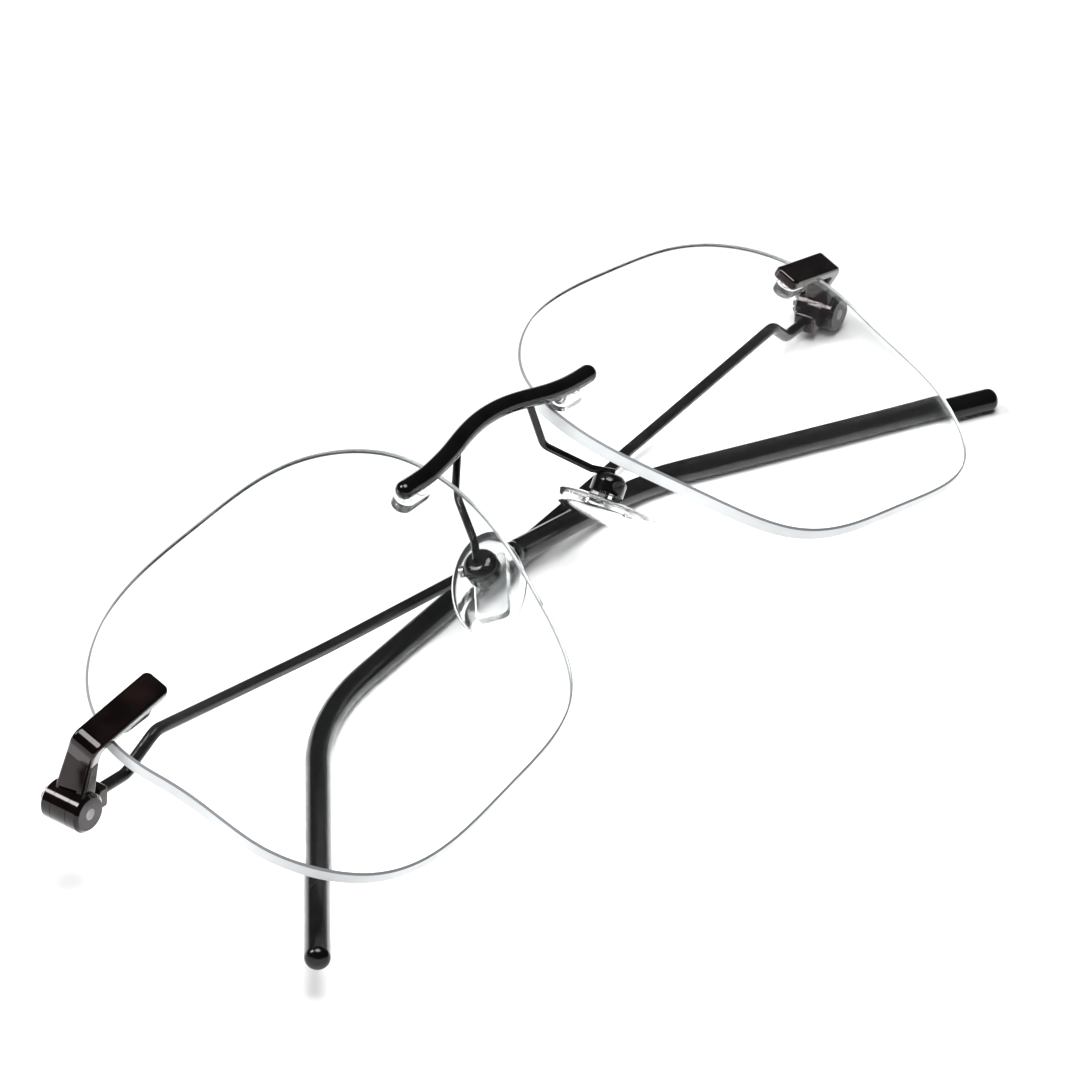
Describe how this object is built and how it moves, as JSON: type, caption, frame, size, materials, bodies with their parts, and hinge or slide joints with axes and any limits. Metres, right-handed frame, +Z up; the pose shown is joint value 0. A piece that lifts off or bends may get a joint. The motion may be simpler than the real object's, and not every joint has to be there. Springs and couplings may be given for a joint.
{
  "type": "rimless eyeglasses",
  "caption": "Rimless eyeglasses: clear drilled lenses, round bar bridge, rocking clear nose pads on wire arms, and hinged wire temples with bent moulded tips, lying folded face up.",
  "frame": {"origin": "bottom centre of the bounding box of the folded glasses, on the surface that they lie on", "axes": "+X to the wearer's left along the front, +Y towards the top of the lenses, +Z up from the surface, the way the lenses face"},
  "size_m": [0.1376, 0.0406, 0.0229],
  "materials": {
    "lens": "polished, clear",
    "black_enamel": "gloss black",
    "dark_metal": "gloss dark gunmetal",
    "screw_steel": "dark steel",
    "clear_plastic": "clear",
    "pad_insert": "clear",
    "clear_silicone": "clear, soft",
    "tip_plastic": "gloss black"
  },
  "bodies": {
    "front": {"bridge": "black_enamel", "lens_left": "lens", "lens_right": "lens", "bridge_sleeve_left": "clear_plastic", "bridge_sleeve_right": "clear_plastic", "endpiece_sleeve_left": "clear_plastic", "endpiece_sleeve_right": "clear_plastic", "pad_arm_left": "black_enamel", "pad_arm_right": "black_enamel", "pad_box_left": "dark_metal", "pad_box_right": "dark_metal", "pad_screw_left": "screw_steel", "pad_screw_right": "screw_steel", "endpiece_left": "dark_metal", "endpiece_right": "dark_metal", "hinge_screw_left": "screw_steel", "hinge_screw_right": "screw_steel"},
    "pad_left": {"nose_pad_left": "clear_silicone", "pad_core_left": "pad_insert"},
    "temple_left": {"temple_hinge_left": "dark_metal", "temple_wire_left": "black_enamel", "temple_tip_left": "tip_plastic"},
    "pad_right": {"nose_pad_right": "clear_silicone", "pad_core_right": "pad_insert"},
    "temple_right": {"temple_hinge_right": "dark_metal", "temple_wire_right": "black_enamel", "temple_tip_right": "tip_plastic"}
  },
  "joints": [
    {"name": "temple_left_open", "type": "hinge", "parent": "front", "child": "temple_left", "pos_m": [0.06668, 0.00974, 0.00226], "axis": [0.0515, -0.9932, 0.1047], "range_deg": [0, 88]},
    {"name": "temple_right_open", "type": "hinge", "parent": "front", "child": "temple_right", "pos_m": [-0.06667, 0.00974, 0.01055], "axis": [0.056, 0.9922, -0.1113], "range_deg": [0, 90]},
    {"name": "pad_left_rock", "type": "hinge", "parent": "front", "child": "pad_left", "pos_m": [0.01211, 0.00168, 0.01097], "axis": [-0.3996, -0.7824, 0.4777], "range_deg": [-10, 10]},
    {"name": "pad_right_rock", "type": "hinge", "parent": "front", "child": "pad_right", "pos_m": [-0.01144, 0.00168, 0.01243], "axis": [-0.4557, 0.7824, -0.4245], "range_deg": [-10, 10]}
  ]
}
